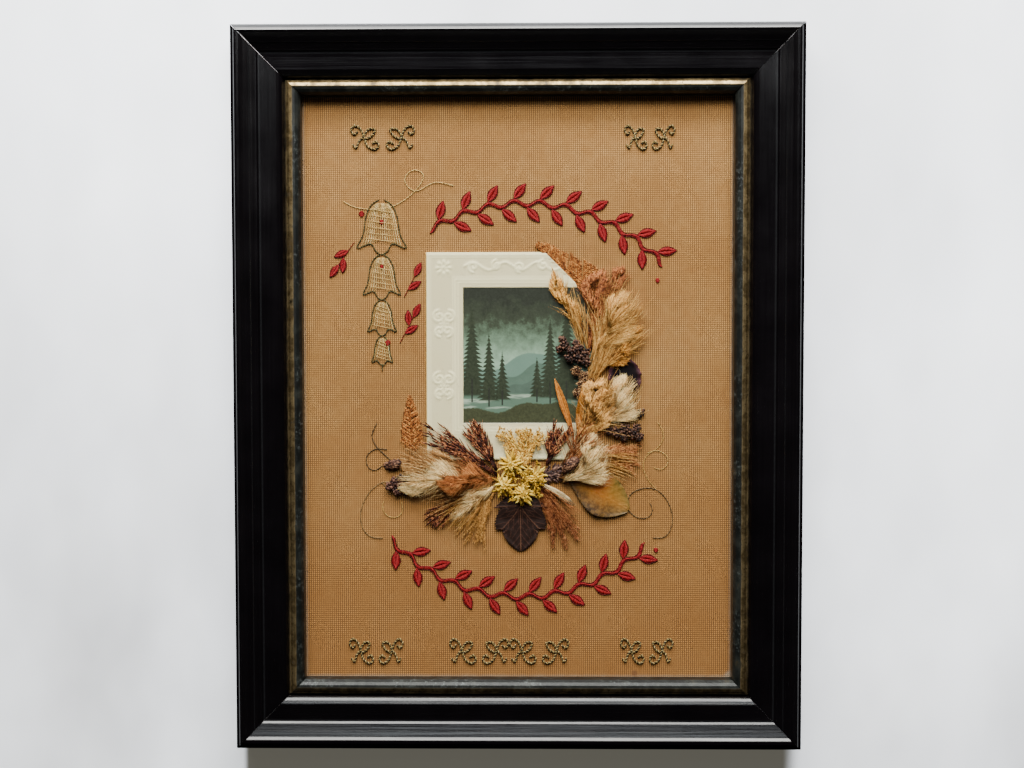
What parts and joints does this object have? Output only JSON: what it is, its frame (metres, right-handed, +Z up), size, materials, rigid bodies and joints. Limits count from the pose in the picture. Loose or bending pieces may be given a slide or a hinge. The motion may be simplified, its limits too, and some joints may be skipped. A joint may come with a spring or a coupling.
{
  "type": "embroidered picture in moulded wood frame",
  "caption": "Stitched cloth panel with garlands, an embossed card and a dried flower spray, in a black moulded wood frame with a gilt slip.",
  "frame": {"origin": "the middle of the flat back, on the wall plane", "axes": "+Z up the picture, +X to its right as seen from the front, -Y out of its face"},
  "size_m": [0.38, 0.0276, 0.484],
  "materials": {
    "ebony": "black polish, glossy, worn grey on the arrises",
    "gilt": "worn gilding, dull gold outside and dark green inside",
    "board": "bare board",
    "ground": "tan evenweave with a fine square grid",
    "card": "cream embossed card with a printed window",
    "red_thread": "satin stitch in red silk",
    "yellow_thread": "pale yellow stitching outlined in dark green",
    "dried_straw": "dried grass, matt",
    "dried_cream": "dried plumes, soft and matt",
    "dried_russet": "dried grass, matt",
    "dried_orange": "dried fern and grass, matt",
    "dried_gold": "dried straw flowers, matt",
    "dried_dark": "dried seed heads and dark leaves"
  },
  "bodies": {
    "root": {"rail_top": "ebony", "rail_right": "ebony", "rail_bottom": "ebony", "rail_left": "ebony", "slip_top": "gilt", "slip_right": "gilt", "slip_bottom": "gilt", "slip_left": "gilt", "back_board": "board", "stitched_ground": "ground", "picture_card": "card", "garland_upper": "red_thread", "garland_lower": "red_thread", "husk_drop": "yellow_thread", "fern_left": "dried_orange", "fern_right": "dried_orange", "plume_orange": "dried_orange", "grass_pink": "dried_orange", "leaf_lance_left": "dried_orange", "leaf_lance_right": "dried_orange", "plume_straw": "dried_straw", "plume_tan": "dried_straw", "grass_tan": "dried_straw", "plume_gold": "dried_gold", "plume_honey": "dried_gold", "flowers_gold": "dried_gold", "leaf_oval": "dried_gold", "straw_head_1": "dried_gold", "straw_head_2": "dried_gold", "straw_head_3": "dried_gold", "straw_head_4": "dried_gold", "plume_russet": "dried_russet", "plume_russet_low": "dried_russet", "grass_rust": "dried_russet", "spray_rust": "dried_russet", "spray_dark_left": "dried_russet", "spray_dark_mid": "dried_russet", "spray_dark_right": "dried_russet", "plume_cream_upper": "dried_cream", "plume_cream_right": "dried_cream", "plume_cream_left": "dried_cream", "plume_cream_low": "dried_cream", "plume_pale": "dried_cream", "quill_white": "dried_cream", "bud_left": "dried_dark", "bud_right": "dried_dark", "seeds_twig": "dried_dark", "seeds_upper": "dried_dark", "seeds_right": "dried_dark", "flowers_brown": "dried_dark", "berries": "dried_dark", "leaves_dark": "dried_dark", "leaf_lobed": "dried_dark", "petal_purple": "dried_dark"}
  },
  "joints": []
}
